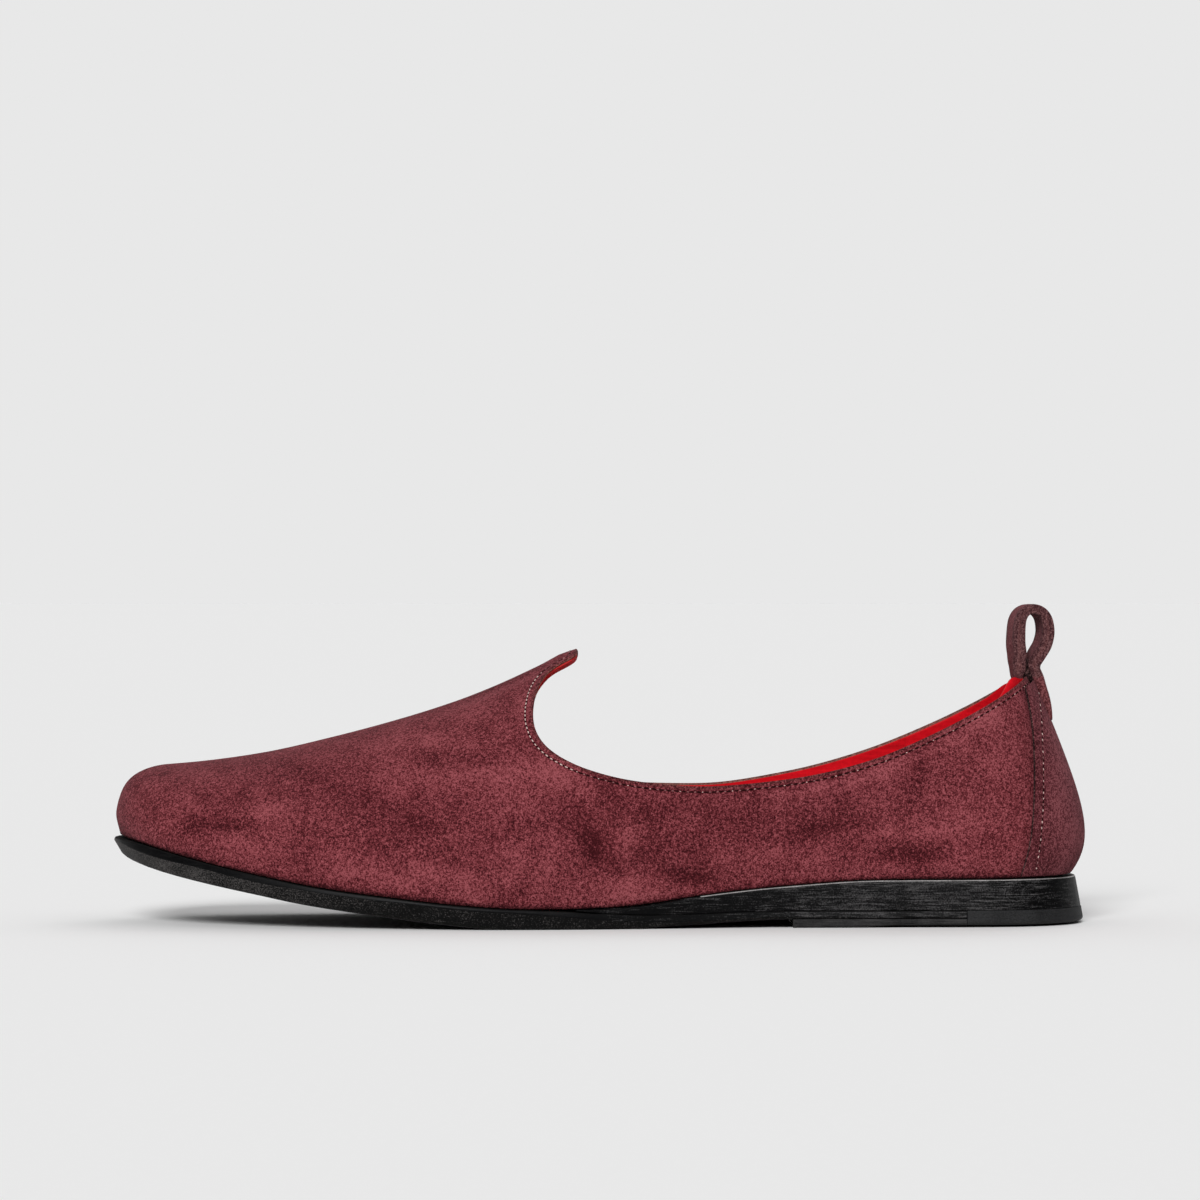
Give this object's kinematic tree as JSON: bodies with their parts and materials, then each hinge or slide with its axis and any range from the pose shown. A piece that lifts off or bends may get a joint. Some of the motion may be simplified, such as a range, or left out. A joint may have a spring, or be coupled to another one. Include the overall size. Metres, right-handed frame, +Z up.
{
  "type": "slip-on loafer",
  "caption": "Hollow suede slip-on loafer with a pointed throat, heel tab and pull loop, on a thin leather sole with a low stacked heel.",
  "frame": {"origin": "on the floor plane under the middle of the shoe's bounding box", "axes": "+Y from the toe to the heel along the shoe's length, +Z up, +X to the outer (lateral) side of this left shoe"},
  "size_m": [0.0983, 0.2894, 0.0945],
  "materials": {
    "suede": "burgundy suede, brushed nap, red leather lining inside",
    "tab_suede": "burgundy suede",
    "loop_suede": "doubled burgundy suede with cut edges",
    "sock_lining": "bright red smooth leather",
    "sole_leather": "black dyed and waxed edge",
    "wedge_leather": "black waxed stacked leather",
    "lift_leather": "black waxed leather",
    "rubber": "matt black rubber"
  },
  "bodies": {
    "root": {"upper": "suede", "heel_tab": "tab_suede", "pull_loop": "loop_suede", "insole": "sock_lining", "outsole": "sole_leather", "heel_wedge": "wedge_leather", "top_lift": "lift_leather", "heel_rubber": "rubber"}
  },
  "joints": []
}
